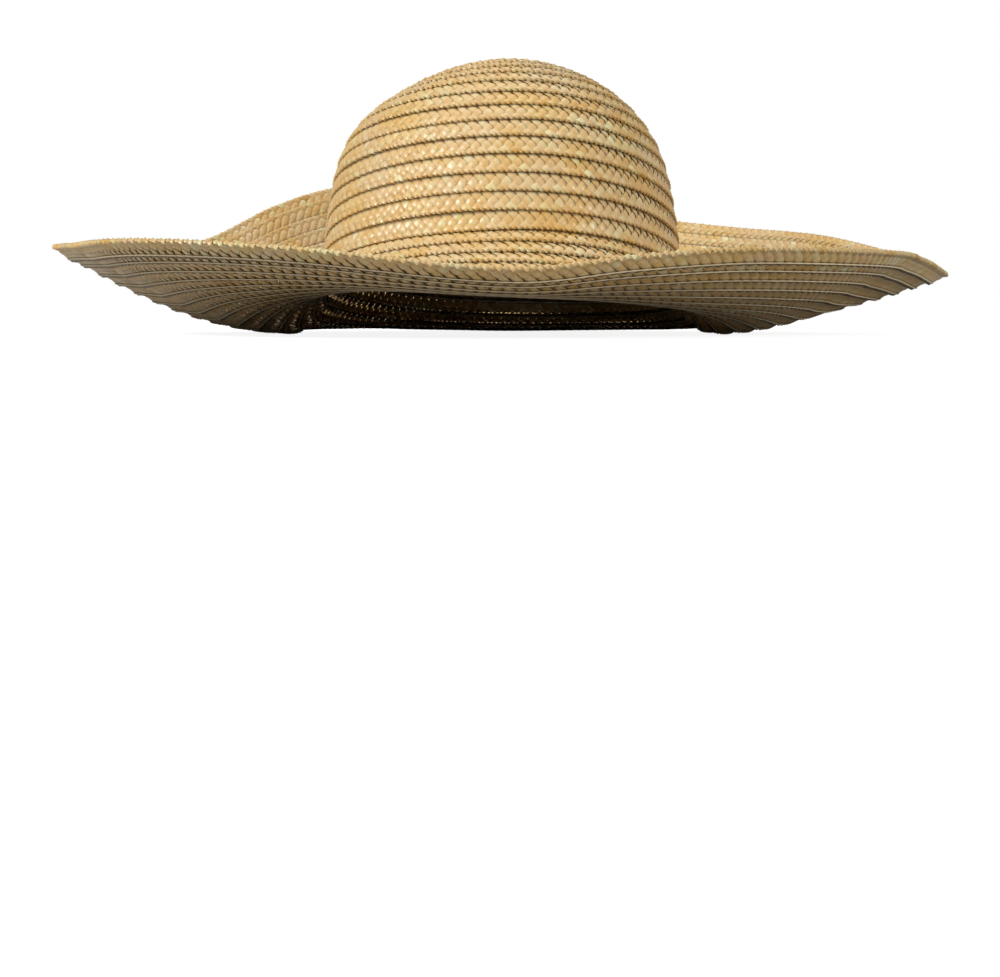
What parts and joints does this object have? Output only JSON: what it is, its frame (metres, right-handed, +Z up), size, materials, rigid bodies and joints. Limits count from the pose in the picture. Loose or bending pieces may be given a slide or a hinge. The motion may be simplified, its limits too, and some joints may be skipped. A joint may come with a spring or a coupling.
{
  "type": "wide-brim straw hat",
  "caption": "Wide-brim straw hat sewn from one spiral of plaited braid, with a domed crown and a wavy brim that droops in front and turns up at the back.",
  "frame": {"origin": "centre of the hat's outline on the plane that it rests on", "axes": "+Z up through the crown, -Y towards the front of the hat, +X to the wearer's left"},
  "size_m": [0.4374, 0.4326, 0.1325],
  "materials": {
    "crown": "plaited natural straw, slight sheen",
    "brim": "plaited natural straw, slight sheen"
  },
  "bodies": {
    "root": {"crown": "crown", "brim": "brim"}
  },
  "joints": []
}
